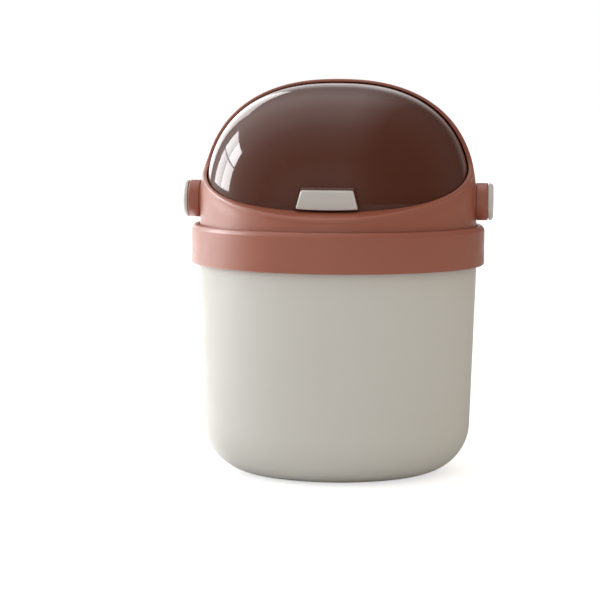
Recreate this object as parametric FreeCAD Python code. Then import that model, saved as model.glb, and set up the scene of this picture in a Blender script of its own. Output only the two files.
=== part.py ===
import FreeCAD, Part
import math
import os
from FreeCAD import Vector

# Desktop bin with a dome hood and a smoked flap that rolls back inside it.
# Millimetres, +Z up. The origin is the middle of the foot ring, the front faces -Y,
# and the flap turns about a line along X at the pivot height.

# Overall
overall_height = 180.0
cut_overrun = 3.0

# Fits shared by several pieces
running_clearance = 0.05
seat_clearance = 0.3

# Bucket
bin_rim_radius = 64.2
bin_taper = 3.6
bin_wall = 2.2
bin_floor = 2.6
bin_corner_radius = 22.5
bin_rim_round = 0.7
foot_ring_width = 4.0
foot_ring_height = 1.0

# Collar on the bucket's rim
collar_skirt_gap = 0.8
collar_skirt_drop = 13.4
collar_skirt_wall = 2.2
collar_flange = 2.4
collar_lip_height = 2.2
collar_lip_wall = 3.2
collar_top_round = 2.0
collar_low_round = 1.0
collar_spigot_depth = 8.0
collar_spigot_wall = 1.8
collar_spigot_gap = 0.9
collar_edge_round = 0.5

# Hood, whose dome is lower than its radius by the flattening
hood_flare = 0.5
hood_wall = 1.4
hood_power = 2.35
dome_flattening = 7.8
dome_point_count = 16
hood_bead_radius = 0.5
hood_bead_rise = 1.1
bead_groove_radius = 0.75

# The hood's open front, in the side view, with the pivot as zero
opening_front_drop = 5.2
opening_slope = 18.5
opening_rear_y = 1.0
opening_rear_lean = 2.1
opening_corner_radius = 9.0
opening_edge_round = 0.6

# The inward lip along the front of the opening
lip_thickness = 2.0
lip_gap = 0.8
lip_back = 34.0

# Flap
flap_side_gap = 1.4
flap_top_gap = 0.4
flap_power = 2.4
flap_wall = 1.8
flap_cheek_gap = 2.6
flap_front_angle = -6.0
flap_back_angle = 103.0
cheek_ear_radius = 9.0
hub_radius = 5.5
hub_length = 3.8
hub_web = 1.6

# Finger tab, a plate with a bowed lower edge on a plinth that stands out from the flap
tab_top_width = 22.9
tab_bottom_width = 27.4
tab_height = 8.3
tab_bottom = -1.2
tab_bow = 0.8
tab_bow_share = 0.85
tab_thickness = 1.2
tab_seat_gap = 0.1
tab_corner_round = 0.8
plinth_rise = 2.4
plinth_margin = 0.25
plinth_draft = 0.85
stud_radius = 1.6
stud_spacing = 16.0
stud_reach = 2.4
stud_clearance = 0.15
stud_seat_radius = 4.2
stud_seat_height = 1.3
push_nut_radius = 3.6
push_nut_thickness = 0.8
push_nut_slit_count = 4
push_nut_slit_width = 0.5
push_nut_slit_reach = 2.6

# Stops for the flap's front edge
stop_spacing = 40.0
stop_width = 9.0
stop_depth = 7.0
stop_ledge_thickness = 2.2
stop_pad_inset = 0.8
stop_pad_thickness = 1.5
stop_gap = 0.35

# Pivot, counted outwards from the flap's cheek
washer_thickness = 0.5
washer_radius = 6.0
washer_play = 0.05
bush_flange = 0.75
bush_flange_radius = 6.0
bush_barrel_radius = 4.0
boss_inner_radius = 7.5
boss_inset = 0.55
boss_face = 0.2
pin_radius = 2.5
pin_end_round = 0.4
pin_end_gap = 0.2
screw_radius = 1.2
screw_head_radius = 2.6
screw_head_height = 1.6
screw_head_round = 0.7
screw_reach = 6.0
screw_slot_width = 0.8
screw_slot_depth = 0.6
knob_radius = 8.55
knob_length = 5.0
knob_gap = 0.2
knob_collar_gap = 2.45
knob_inner_round = 0.4
knob_outer_round = 0.9
cap_recess_radius = 4.2
cap_recess_depth = 1.1
cap_step = 0.35
cap_thickness = 2.1
cap_round = 1.1
cap_neck = 0.3
cap_neck_inset = 0.8
cap_low_round = 0.3

# Sizes and places that follow from the sizes above: the collar fits over the bucket's rim, the
# hood fits inside the collar, and the heights are counted down from the dome's top
bin_base_radius = bin_rim_radius - bin_taper
collar_radius = bin_rim_radius + collar_skirt_gap + collar_skirt_wall
collar_recess_radius = collar_radius - collar_lip_wall
hood_foot_radius = collar_recess_radius - seat_clearance
hood_radius = hood_foot_radius - hood_flare
dome_height = hood_radius - dome_flattening
pivot_height = overall_height - dome_height
hood_seat = pivot_height - knob_radius - knob_collar_gap - collar_lip_height
collar_top = hood_seat + collar_lip_height
bin_height = hood_seat - collar_flange
collar_bottom = bin_height - collar_skirt_drop
hood_inner_radius = hood_radius - hood_wall
hood_inner_height = dome_height - hood_wall
reach = collar_radius + cut_overrun
flap_side = hood_inner_radius - flap_side_gap
flap_top = hood_inner_height - flap_top_gap
cheek_x = hood_inner_radius - flap_cheek_gap
cheek_inner_x = cheek_x - flap_wall
tab_seat = plinth_rise + tab_seat_gap
tab_rise = tab_seat + tab_thickness
hub_x = cheek_inner_x - hub_length
washer_x = cheek_x + washer_play
bush_x = washer_x + washer_thickness + washer_play
boss_inner_x = bush_x + bush_flange
boss_outer_x = hood_radius + boss_face
boss_outer_radius = knob_radius - boss_inset
knob_x = boss_outer_x + knob_gap
knob_end_x = knob_x + knob_length
knob_recess_x = knob_end_x - cap_recess_depth
cap_radius = knob_radius - cap_step
cap_x = knob_end_x + cap_neck
cap_end_x = cap_x + cap_thickness
pin_x = hub_x + hub_web
pin_end_x = knob_recess_x - pin_end_gap

ORIGIN = Vector(0, 0, 0)
PIVOT = Vector(0, 0, pivot_height)
X_AXIS = Vector(1, 0, 0)
Y_AXIS = Vector(0, 1, 0)
Z_AXIS = Vector(0, 0, 1)


def line(start, end):
    return Part.LineSegment(start, end).toShape()


def rounded_wire(corners):
    """A closed wire through (point, radius) corners, each rounded by a tangent arc of its radius."""
    edges = []
    stops = []
    for index, (point, radius) in enumerate(corners):
        before = (corners[index - 1][0] - point).normalize()
        after = (corners[(index + 1) % len(corners)][0] - point).normalize()
        if radius == 0:
            stops.append((point, point, None))
            continue
        half = before.getAngle(after) / 2
        inward = (before + after).normalize()
        along = radius / math.tan(half)
        middle = point + inward * (radius / math.sin(half) - radius)
        stops.append((point + before * along, point + after * along, middle))
    for index, (start, end, middle) in enumerate(stops):
        if middle is not None:
            edges.append(Part.Arc(start, middle, end).toShape())
        following = stops[(index + 1) % len(stops)][0]
        if not end.isEqual(following, Part.Precision.confusion()):
            edges.append(line(end, following))
    return Part.Wire(edges)


def turned(face, centre, axis, sweep=360):
    solid = face.revolve(centre, axis, sweep)
    if solid.Volume < 0:
        solid.reverse()
    return solid


def turned_upright(*corners):
    """A solid of revolution about Z from (radius, height, rounding) corners."""
    wire = rounded_wire([(Vector(radius, 0, height), rounding) for radius, height, rounding in corners])
    return turned(Part.Face(wire), ORIGIN, Z_AXIS)


def turned_on_pivot(*corners):
    """A solid of revolution about the pivot from (x, radius, rounding) corners."""
    wire = rounded_wire([(PIVOT + Vector(x, 0, radius), rounding) for x, radius, rounding in corners])
    return turned(Part.Face(wire), PIVOT, X_AXIS)


def pivot_rod(radius, start, end):
    return Part.makeCylinder(radius, end - start, PIVOT + Vector(start, 0, 0), X_AXIS)


def block(low, high):
    """A box between two opposite corners."""
    size = high - low
    return Part.makeBox(size.x, size.y, size.z, low)


def mirrored(shape):
    return shape.mirror(ORIGIN, X_AXIS)


def dome_edge(side, top, power, sweep):
    """A superellipse over the pivot, from its side up, or right over when the sweep is 180 degrees."""
    points = []
    for step in range(dome_point_count * sweep // 90 + 1):
        turn = math.radians(90 * step / dome_point_count)
        across = 0 if step == dome_point_count else math.cos(turn)
        up = 0 if step == 2 * dome_point_count else math.sin(turn)
        across = math.copysign(abs(across) ** (2 / power), across)
        points.append(PIVOT + Vector(side * across, 0, top * up ** (2 / power)))
    curve = Part.BSplineCurve()
    end = -X_AXIS if sweep == 90 else -Z_AXIS
    curve.interpolate(Points=points, InitialTangent=Z_AXIS, FinalTangent=end)
    return curve.toShape()


def dome_upright(side, top, foot_radius, foot_height):
    """The hood's dome of revolution about Z, on a wall that flares out to its foot."""
    spring = Vector(side, 0, pivot_height)
    foot = Vector(foot_radius, 0, foot_height)
    # A quarter of the flare at half the height makes the wall leave the dome without a crease.
    middle = Vector(side + (foot_radius - side) / 4, 0, (pivot_height + foot_height) / 2)
    dome = dome_edge(side, top, hood_power, 90)
    crown = PIVOT + Vector(0, 0, top)
    foot_centre = Vector(0, 0, foot_height)
    wall = Part.Arc(foot, middle, spring).toShape()
    wire = Part.Wire([wall, dome, line(crown, foot_centre), line(foot_centre, foot)])
    return turned(Part.Face(wire), ORIGIN, Z_AXIS)


def dome_on_pivot(grow, cheek):
    """The flap's solid of revolution about the pivot, grown by a gap and cut flat at its cheeks."""
    side = flap_side + grow
    dome = dome_edge(side, flap_top + grow, flap_power, 180)
    wire = Part.Wire([dome, line(PIVOT - X_AXIS * side, PIVOT + X_AXIS * side)])
    ball = turned(Part.Face(wire), PIVOT, X_AXIS)
    return ball.common(block(Vector(-cheek, -reach, 0), Vector(cheek, reach, overall_height + reach)))


def front_layer(low, high):
    """The front quarter of the shell between the flap's dome grown by low and the same grown by high."""
    inner, outer = [dome_edge(flap_side + grow, flap_top + grow, flap_power, 180) for grow in (low, high)]
    near = X_AXIS * (flap_side + low)
    far = X_AXIS * (flap_side + high)
    right = line(PIVOT + near, PIVOT + far)
    left = line(PIVOT - near, PIVOT - far)
    face = Part.Face(Part.Wire([outer, left, inner, right]))
    face.rotate(PIVOT, X_AXIS, 45)
    return turned(face, PIVOT, X_AXIS, 90)


def side_prism(corners):
    """A prism along X from ((y, height over the pivot), rounding) corners."""
    wire = rounded_wire([(PIVOT + Vector(-reach, y, up), rounding) for (y, up), rounding in corners])
    return Part.Face(wire).extrude(X_AXIS * (2 * reach))


def opening_prism(grow):
    """What the open front takes out of the hood, with its lower and rear edges moved out by grow."""
    slope = math.radians(opening_slope)
    lean = math.radians(opening_rear_lean)
    drop = opening_front_drop + grow / math.cos(slope)
    rear = opening_rear_y + grow / math.cos(lean)
    # The lower edge is up = -drop + (y + hood_radius) tan(slope), the rear edge y = rear + up tan(lean).
    front = -drop + (hood_radius - reach) * math.tan(slope)
    corner_up = (-drop + (rear + hood_radius) * math.tan(slope)) / (1 - math.tan(lean) * math.tan(slope))
    corner_y = rear + corner_up * math.tan(lean)
    return side_prism([
        ((-reach, front), 0),
        ((corner_y, corner_up), opening_corner_radius + grow),
        ((rear + reach * math.tan(lean), reach), 0),
        ((-reach, reach), 0),
    ])


def make_bin_body():
    slant = math.atan2(bin_rim_radius - bin_base_radius, bin_height)
    wall_across = bin_wall / math.cos(slant)
    inner_floor = foot_ring_height + bin_floor
    inner_base = bin_base_radius + inner_floor * math.tan(slant) - wall_across
    foot_outer = bin_base_radius - bin_corner_radius * math.tan((math.pi / 2 - slant) / 2)
    foot_inner = foot_outer - foot_ring_width
    return turned_upright(
        (0, foot_ring_height, 0),
        (foot_inner, foot_ring_height, 0),
        (foot_inner, 0, 0),
        (bin_base_radius, 0, bin_corner_radius),
        (bin_rim_radius, bin_height, bin_rim_round),
        (bin_rim_radius - wall_across, bin_height, bin_rim_round),
        (inner_base, inner_floor, bin_corner_radius - bin_wall),
        (0, inner_floor, 0),
    )


def make_collar():
    skirt_inner = collar_radius - collar_skirt_wall
    spigot_outer = bin_rim_radius - bin_wall - collar_spigot_gap
    spigot_inner = spigot_outer - collar_spigot_wall
    spigot_bottom = bin_height - collar_spigot_depth
    ring = turned_upright(
        (spigot_inner, spigot_bottom, collar_edge_round),
        (spigot_outer, spigot_bottom, collar_edge_round),
        (spigot_outer, bin_height, 0),
        (skirt_inner, bin_height, 0),
        (skirt_inner, collar_bottom, collar_edge_round),
        (collar_radius, collar_bottom, collar_low_round),
        (collar_radius, collar_top, collar_top_round),
        (collar_recess_radius, collar_top, collar_edge_round),
        (collar_recess_radius, hood_seat, 0),
        (spigot_inner, hood_seat, collar_edge_round),
    )
    return ring.cut(hood_bead(bead_groove_radius))


def hood_bead(radius):
    """The ring that snaps the hood into the collar, or the groove it snaps into."""
    return Part.makeTorus(hood_foot_radius, radius, Vector(0, 0, hood_seat + hood_bead_rise))


def stop_places():
    """Where the stops stand, and the height of the pads' tops under the flap's front edge."""
    inner_top = flap_top - flap_wall
    inner_side = flap_side - flap_wall
    out_share = (stop_spacing + stop_width) / 2 / inner_side
    edge_radius = inner_top * (1 - out_share ** flap_power) ** (1 / flap_power)
    edge_drop = flap_top * math.sin(math.radians(-flap_front_angle))
    return [-stop_spacing / 2, stop_spacing / 2], -edge_radius + stop_depth / 2, -edge_drop - stop_gap


def make_stop_pads():
    centres, back, top = stop_places()
    half = stop_width / 2 - stop_pad_inset
    front = back - stop_depth + stop_pad_inset
    pads = []
    for x in centres:
        low = PIVOT + Vector(x - half, front, top - stop_pad_thickness)
        high = PIVOT + Vector(x + half, back - stop_pad_inset, top)
        pads.append(block(low, high))
    return Part.makeCompound(pads)


def stop_ledges():
    """The shelves inside the hood's front wall that carry the stop pads."""
    centres, back, top = stop_places()
    shelf_top = top - stop_pad_thickness
    ledges = []
    for x in centres:
        low = PIVOT + Vector(x - stop_width / 2, -reach, shelf_top - stop_ledge_thickness)
        high = PIVOT + Vector(x + stop_width / 2, back, shelf_top)
        ledges.append(block(low, high))
    return ledges


def opening_rim_edges(hood):
    """The sharp outer edges of the hood's open front."""
    outside = dome_upright(hood_radius, dome_height, hood_foot_radius, hood_seat)
    skin = Part.Shell([face for face in outside.Faces])
    front = opening_prism(0)
    walls = Part.Shell([face for face in front.Faces])
    edges = []
    for edge in hood.Edges:
        middle = Part.Vertex(edge.valueAt((edge.FirstParameter + edge.LastParameter) / 2))
        near_skin = middle.distToShape(skin)[0] < running_clearance
        near_wall = middle.distToShape(walls)[0] < running_clearance
        if near_skin and near_wall:
            edges.append(edge)
    return edges


def make_hood():
    outside = dome_upright(hood_radius, dome_height, hood_foot_radius, hood_seat)
    cavity = dome_upright(hood_inner_radius, hood_inner_height, hood_foot_radius - hood_wall, hood_seat)
    front = opening_prism(0)
    lip = opening_prism(lip_thickness).cut(front).cut(dome_on_pivot(lip_gap, reach))
    lip = lip.common(block(Vector(-reach, -reach, 0), Vector(reach, -lip_back, overall_height)))
    bosses = [pivot_rod(boss_inner_radius, boss_inner_x, reach)]
    bosses.append(mirrored(bosses[0]))
    cavity = cavity.cut([lip] + stop_ledges() + bosses)
    hood = outside.cut(cavity).cut(front)
    hood = hood.makeFillet(opening_edge_round, opening_rim_edges(hood))
    pad = pivot_rod(boss_outer_radius, cheek_x, boss_outer_x).cut(cavity)
    hole = pivot_rod(bush_barrel_radius + running_clearance, cheek_x, reach)
    hood = hood.fuse([pad, mirrored(pad), hood_bead(hood_bead_radius)]).cut([hole, mirrored(hole)])
    return hood.removeSplitter()


def flap_wedge():
    """The sector of the side view that the flap fills, from its front edge to its back edge."""
    ends = []
    for angle in (flap_front_angle, flap_back_angle):
        turn = math.radians(angle)
        ends.append((-math.cos(turn) * 2 * reach, math.sin(turn) * 2 * reach))
    corner = (-2 * reach, 2 * reach)
    return side_prism([((0, 0), 0), (ends[0], 0), (corner, 0), (ends[1], 0)])


def stud_places():
    return [-stud_spacing / 2, stud_spacing / 2], tab_bottom + tab_height / 2


def front_rods(radius, start, end):
    """Rods along Y behind the tab, between two depths in front of the pivot."""
    centres, up = stud_places()
    return [Part.makeCylinder(radius, start - end, PIVOT + Vector(x, -start, up), Y_AXIS) for x in centres]


def stud_seat():
    """How far in front of the pivot the push nuts' flat seats stand."""
    return flap_top - flap_wall - stud_seat_height


def plinth_outline(depth, grow):
    """The plinth's outline at a depth in front of the pivot, wider than the tab by grow but at its foot."""
    top = tab_bottom + tab_height + grow
    low_half = tab_bottom_width / 2 + grow
    high_half = tab_top_width / 2 + grow
    corners = [(-low_half, tab_bottom), (low_half, tab_bottom), (high_half, top), (-high_half, top)]
    return rounded_wire([(PIVOT + Vector(x, -depth, up), 0) for x, up in corners])


def tab_plinth():
    """The block on the flap's front that carries the tab, narrower towards the tab."""
    root = plinth_outline(flap_top - flap_wall, plinth_margin + plinth_draft)
    face = plinth_outline(flap_top + plinth_rise, plinth_margin)
    return Part.makeLoft([root, face], True, True).common(front_layer(-flap_wall / 2, plinth_rise))


def make_dome_flap():
    outside = dome_on_pivot(0, cheek_x)
    inside = dome_on_pivot(-flap_wall, cheek_inner_x)
    flap = outside.cut(inside).common(flap_wedge())
    ear = pivot_rod(cheek_ear_radius, cheek_inner_x, cheek_x)
    hub = pivot_rod(hub_radius, hub_x, cheek_x)
    seats = [rod.common(outside) for rod in front_rods(stud_seat_radius, flap_top, stud_seat())]
    flap = flap.fuse([ear, hub, mirrored(ear), mirrored(hub), tab_plinth()] + seats)
    bore = pivot_rod(pin_radius + running_clearance, pin_x, reach)
    screw_hole = pivot_rod(screw_radius + running_clearance, hub_x - cut_overrun, reach)
    holes = [bore, screw_hole, mirrored(bore), mirrored(screw_hole)]
    holes += front_rods(stud_radius + stud_clearance, reach, stud_seat() - cut_overrun)
    return flap.cut(holes).removeSplitter()


def make_flap_tab():
    half = tab_bottom_width / 2
    # The lower edge falls to its middle, and an arc along most of it makes it one smooth bow.
    bow_radius = tab_bow_share * math.hypot(half, tab_bow) * half / tab_bow
    corners = [
        (-half, tab_bottom, tab_corner_round),
        (0, tab_bottom - tab_bow, bow_radius),
        (half, tab_bottom, tab_corner_round),
        (tab_top_width / 2, tab_bottom + tab_height, tab_corner_round),
        (-tab_top_width / 2, tab_bottom + tab_height, tab_corner_round),
    ]
    wire = rounded_wire([(PIVOT + Vector(x, -reach, up), rounding) for x, up, rounding in corners])
    plate = Part.Face(wire).extrude(Y_AXIS * reach).common(front_layer(tab_seat, tab_rise))
    stud_root = flap_top + (tab_seat + tab_rise) / 2
    studs = front_rods(stud_radius, stud_root, stud_seat() - push_nut_thickness - stud_reach)
    return plate.fuse(studs).removeSplitter()


def make_push_nuts():
    """Two push-on nuts: thin discs whose slit tongues grip the tab's studs."""
    centres, up = stud_places()
    face = stud_seat()
    discs = front_rods(push_nut_radius, face, face - push_nut_thickness)
    bores = front_rods(stud_radius + running_clearance, reach, face - push_nut_thickness - cut_overrun)
    nuts = []
    for x, disc, bore in zip(centres, discs, bores):
        nut = disc.cut(bore)
        centre = PIVOT + Vector(x, -face, up)
        for slit in range(push_nut_slit_count):
            low = centre + Vector(0, -cut_overrun, -push_nut_slit_width / 2)
            high = centre + Vector(push_nut_slit_reach, push_nut_thickness + cut_overrun, push_nut_slit_width / 2)
            cutter = block(low, high)
            cutter.rotate(centre, Y_AXIS, slit * 360 / push_nut_slit_count)
            nut = nut.cut(cutter)
        nuts.append(nut)
    return Part.makeCompound(nuts)


def make_thrust_washer():
    bore = pin_radius + running_clearance
    end = washer_x + washer_thickness
    return turned_on_pivot(
        (washer_x, bore, 0), (end, bore, 0), (end, washer_radius, 0), (washer_x, washer_radius, 0)
    )


def make_pivot_bush():
    bore = pin_radius + running_clearance
    return turned_on_pivot(
        (bush_x, bore, 0),
        (boss_outer_x, bore, 0),
        (boss_outer_x, bush_barrel_radius, 0),
        (boss_inner_x, bush_barrel_radius, 0),
        (boss_inner_x, bush_flange_radius, 0),
        (bush_x, bush_flange_radius, 0),
    )


def make_pivot_pin():
    pin = turned_on_pivot(
        (pin_x, 0, 0), (pin_end_x, 0, 0), (pin_end_x, pin_radius, pin_end_round), (pin_x, pin_radius, 0)
    )
    return pin.cut(pivot_rod(screw_radius + running_clearance, hub_x, pin_x + screw_reach + pin_end_round))


def make_pivot_screw():
    head_x = hub_x - screw_head_height
    screw = turned_on_pivot(
        (head_x, 0, 0),
        (head_x, screw_head_radius, screw_head_round),
        (hub_x, screw_head_radius, 0),
        (hub_x, screw_radius, 0),
        (pin_x + screw_reach, screw_radius, pin_end_round),
        (pin_x + screw_reach, 0, 0),
    )
    half = screw_slot_width / 2
    arm = screw_head_radius - screw_head_round
    floor = head_x + screw_slot_depth
    upright = block(PIVOT + Vector(head_x - cut_overrun, -half, -arm), PIVOT + Vector(floor, half, arm))
    level = block(PIVOT + Vector(head_x - cut_overrun, -arm, -half), PIVOT + Vector(floor, arm, half))
    return screw.cut([upright, level])


def make_pivot_knob():
    bore = pin_radius + running_clearance
    return turned_on_pivot(
        (knob_x, bore, 0),
        (knob_recess_x, bore, 0),
        (knob_recess_x, cap_recess_radius, 0),
        (knob_end_x, cap_recess_radius, 0),
        (knob_end_x, knob_radius, knob_outer_round),
        (knob_x, knob_radius, knob_inner_round),
    )


def make_knob_cap():
    spigot = cap_recess_radius - running_clearance
    neck = cap_radius - cap_neck_inset
    spigot_x = knob_recess_x + seat_clearance
    return turned_on_pivot(
        (spigot_x, 0, 0),
        (cap_end_x, 0, 0),
        (cap_end_x, cap_radius, cap_round),
        (cap_x, cap_radius, cap_low_round),
        (cap_x, neck, 0),
        (knob_end_x, neck, 0),
        (knob_end_x, spigot, 0),
        (spigot_x, spigot, 0),
    )


single_parts = {
    "bin_body": make_bin_body,
    "collar": make_collar,
    "hood": make_hood,
    "stop_pads": make_stop_pads,
    "dome_flap": make_dome_flap,
    "flap_tab": make_flap_tab,
    "tab_push_nuts": make_push_nuts,
}
paired_parts = {
    "thrust_washer": make_thrust_washer,
    "pivot_bush": make_pivot_bush,
    "pivot_pin": make_pivot_pin,
    "pivot_screw": make_pivot_screw,
    "pivot_knob": make_pivot_knob,
    "knob_cap": make_knob_cap,
}

parts = {name: make() for name, make in single_parts.items()}
for name, make in paired_parts.items():
    right = make()
    parts["right_" + name] = right
    parts["left_" + name] = mirrored(right)

os.makedirs("parts", exist_ok=True)
for name, shape in parts.items():
    shape.exportStep("parts/" + name + ".step")
    print(name, "solids", len(shape.Solids), "volume", round(shape.Volume, 2), "valid", shape.isValid())
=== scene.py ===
# %% [markdown]
# # A desktop bin with a roll-back flap
# The bin is an off-white bucket, a terracotta collar and hood, and a smoked flap that turns on two
# side knobs. Its exact solids are packed as a fixed frame. This lesson loads that frame, then
# makes a finely curved piece for each part that shows and gives every part its finish. Blender
# counts in metres, so a size in millimetres is multiplied by mm before it goes into a mesh.

# %% Load the frame
import bmesh
import bpy
import math
from mathutils import Matrix, Quaternion, Vector


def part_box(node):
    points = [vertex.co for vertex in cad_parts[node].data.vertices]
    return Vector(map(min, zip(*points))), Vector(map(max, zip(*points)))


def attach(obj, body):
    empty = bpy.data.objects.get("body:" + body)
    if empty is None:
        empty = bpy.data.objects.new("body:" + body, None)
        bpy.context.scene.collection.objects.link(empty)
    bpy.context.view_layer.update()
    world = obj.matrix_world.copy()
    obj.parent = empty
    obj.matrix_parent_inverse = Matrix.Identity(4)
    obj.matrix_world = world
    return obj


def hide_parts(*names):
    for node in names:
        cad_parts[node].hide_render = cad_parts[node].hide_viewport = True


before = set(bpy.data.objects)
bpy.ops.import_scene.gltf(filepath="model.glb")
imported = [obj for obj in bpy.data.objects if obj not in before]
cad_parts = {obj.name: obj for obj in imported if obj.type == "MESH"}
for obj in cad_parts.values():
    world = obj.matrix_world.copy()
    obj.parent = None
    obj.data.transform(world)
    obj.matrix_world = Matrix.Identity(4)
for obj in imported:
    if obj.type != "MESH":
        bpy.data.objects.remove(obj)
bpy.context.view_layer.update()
mm = 0.001

# %% [markdown]
# ## Camera
# The picture was taken with a long lens from a little above the middle of the bin and slightly to
# its right. A camera is a point, a direction and a lens, so it could be placed by eye. Here its
# angles and its distance are written as numbers, because then each one can be corrected by itself.

# %% Camera
camera_turn = math.radians(5.2)
camera_rise = math.radians(4.85)
camera_roll = math.radians(0.38)
camera_distance = 1.15
camera_lens, sensor_width = 149.7, 36
aim_left, aim_down = 17.3, 11.75
bin_middle = Vector((0, 0, 90 * mm))
to_camera = Vector((math.sin(camera_turn) * math.cos(camera_rise),
                    -math.cos(camera_turn) * math.cos(camera_rise),
                    math.sin(camera_rise)))
picture_right = Vector((math.cos(camera_turn), math.sin(camera_turn), 0))
picture_up = picture_right.cross(-to_camera)
picture_centre = bin_middle - picture_right * aim_left * mm - picture_up * aim_down * mm


def new_object(name, data):
    """An object for a camera, a lamp or a mesh, linked into the scene."""
    made = bpy.data.objects.new(name, data)
    bpy.context.scene.collection.objects.link(made)
    return made


camera = new_object("camera", bpy.data.cameras.new("camera"))
camera.data.lens = camera_lens
camera.data.sensor_width = sensor_width
camera.location = bin_middle + to_camera * camera_distance
look = (picture_centre - camera.location).to_track_quat("-Z", "Y")
camera.rotation_euler = (look @ Quaternion((0, 0, 1), camera_roll)).to_euler()
bpy.context.scene.camera = camera
bpy.context.scene.view_settings.view_transform = "Standard"
print("camera at", [round(c, 4) for c in camera.location])

# %% [markdown]
# ## Nodes in a row
# A finish is a small network of nodes. Each node could be made, set and joined in many lines. One
# helper that makes a node and fills its sockets keeps a whole finish in view, and two short ones
# stand for the nodes that come up most: a calculation, and a mix of two colours.

# %% Node helpers
def add_node(tree, kind, sockets=None, **settings):
    """A new node. Each socket gets a plain value or is joined to a (node, output) pair."""
    made = tree.nodes.new(kind)
    for name, value in settings.items():
        setattr(made, name, value)
    for socket, value in (sockets or {}).items():
        if isinstance(value, tuple) and isinstance(value[0], bpy.types.Node):
            source, output = value
            tree.links.new(source.outputs[output], made.inputs[socket])
        else:
            made.inputs[socket].default_value = value
    return made


def add_math(tree, operation, *terms, **settings):
    """A calculation with its terms in order."""
    return add_node(tree, "ShaderNodeMath", dict(enumerate(terms)), operation=operation, **settings)


# A Mix node has sockets of its own for each kind of value, and these are their numbers.
first_value, second_value = 2, 3
first_colour, second_colour, mixed_colour = 6, 7, 2


def mix_colours(tree, factor, first, second):
    """A mix from a first colour to a second one."""
    sockets = {"Factor": factor, first_colour: first, second_colour: second}
    return add_node(tree, "ShaderNodeMix", sockets, data_type="RGBA")


def new_finish(name):
    """An empty finish and its tree of nodes."""
    finish = bpy.data.materials.new(name)
    finish.use_nodes = True
    finish.node_tree.nodes.clear()
    return finish, finish.node_tree


# %% [markdown]
# ## Light
# The bin stands in soft daylight that comes mostly from its left and turns a little warmer on the
# right. Soft boxes could do that, but a world that is brighter on the left reaches every side of
# the bin. The glossy and see-through parts need something to mirror, so for their rays the world
# is a pale room with brighter and darker sides. The camera's own rays meet plain white.

# %% World
world = bpy.data.worlds.new("soft_room")
bpy.context.scene.world = world
world.use_nodes = True
tree = world.node_tree
tree.nodes.clear()
left_light, right_light, top_light = 0.80, 0.44, 0.14
direction = add_node(tree, "ShaderNodeTexCoord")
parts = add_node(tree, "ShaderNodeSeparateXYZ", {"Vector": (direction, "Generated")})
soft = add_node(tree, "ShaderNodeMapRange",
                {"Value": (parts, "X"), "From Min": -1, "From Max": 1,
                 "To Min": left_light, "To Max": right_light})
from_above = add_math(tree, "MULTIPLY_ADD", (parts, "Z"), top_light, (soft, "Result"))
print("soft light from", left_light, "on the left to", right_light, "on the right")

# %% Room in the gloss
def room_ramp(axis, stops):
    """Brightness along one axis of the room, from (place between -1 and 1, brightness) stops."""
    spread = add_node(tree, "ShaderNodeMapRange",
                      {"Value": (parts, axis), "From Min": -1, "From Max": 1})
    ramp = add_node(tree, "ShaderNodeValToRGB", {"Fac": (spread, "Result")})
    first, last = ramp.color_ramp.elements
    first.color = (stops[0][1],) * 3 + (1,)
    last.color = (stops[-1][1],) * 3 + (1,)
    for place, bright in stops[1:-1]:
        ramp.color_ramp.elements.new((place + 1) / 2).color = (bright,) * 3 + (1,)
    return ramp


front_to_back = room_ramp("Y", (
    (-1, 0.26), (-0.69, 0.13), (-0.24, 0.36), (0, 0.62), (0.4, 0.75), (0.55, 0.7),
    (0.66, 0.5), (0.78, 0.3), (0.84, 0.28), (0.88, 0.5), (0.93, 0.72), (1, 0.68)))
left_to_right = room_ramp("X", (
    (-1, 1), (0, 1), (0.12, 0.65), (0.25, 0.3), (0.31, 0.18), (0.6, 0.12), (1, 0.1)))
room_glow = 1.6
room = add_math(tree, "MULTIPLY", (front_to_back, "Color"), (left_to_right, "Color"))
bright_room = add_math(tree, "MULTIPLY", (room, 0), room_glow)
print("room ramps:", front_to_back.name, left_to_right.name)

# %% What each ray meets
plain_light, warm_light, white_strength = (1, 1, 1, 1), (1, 0.88, 0.70, 1), 1.0
rays = add_node(tree, "ShaderNodeLightPath")
shiny = add_math(tree, "MAXIMUM", (rays, "Is Glossy Ray"), (rays, "Is Transmission Ray"))
pick_room = add_node(tree, "ShaderNodeMix",
                     {"Factor": (shiny, 0), first_value: (from_above, 0),
                      second_value: (bright_room, 0)}, data_type="FLOAT")
pick_white = add_node(tree, "ShaderNodeMix",
                      {"Factor": (rays, "Is Camera Ray"), first_value: (pick_room, 0),
                       second_value: white_strength}, data_type="FLOAT")
to_right = add_math(tree, "MULTIPLY", (parts, "X"), (rays, "Is Diffuse Ray"), use_clamp=True)
warm = mix_colours(tree, (to_right, 0), plain_light, warm_light)
light = add_node(tree, "ShaderNodeBackground",
                 {"Color": (warm, mixed_colour), "Strength": (pick_white, 0)})
add_node(tree, "ShaderNodeOutputWorld", {"Surface": (light, "Background")})
print("world nodes:", len(tree.nodes))

# %% [markdown]
# ## Window
# A tall window stands to the left of the bin and a little behind it. Its panes shine in the flap,
# a pale curtain beside it shines more softly, and its daylight falls on the bin's left side. A
# picture of a window could be mirrored, but plain flat lamps are enough. The panes and the curtain
# are made for mirrors only, and the daylight for matt surfaces only, so each can be set by itself.

# %% Lamp helpers
lamp_colour = (0.95, 0.985, 1.0)
flap_middle = Vector((0, 0, 145 * mm))
window_distance = 1.1


def leftward(turn):
    """A level direction to the left of the bin, turned towards its back by some degrees."""
    return Vector((-math.cos(math.radians(turn)), math.sin(math.radians(turn)), 0))


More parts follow.
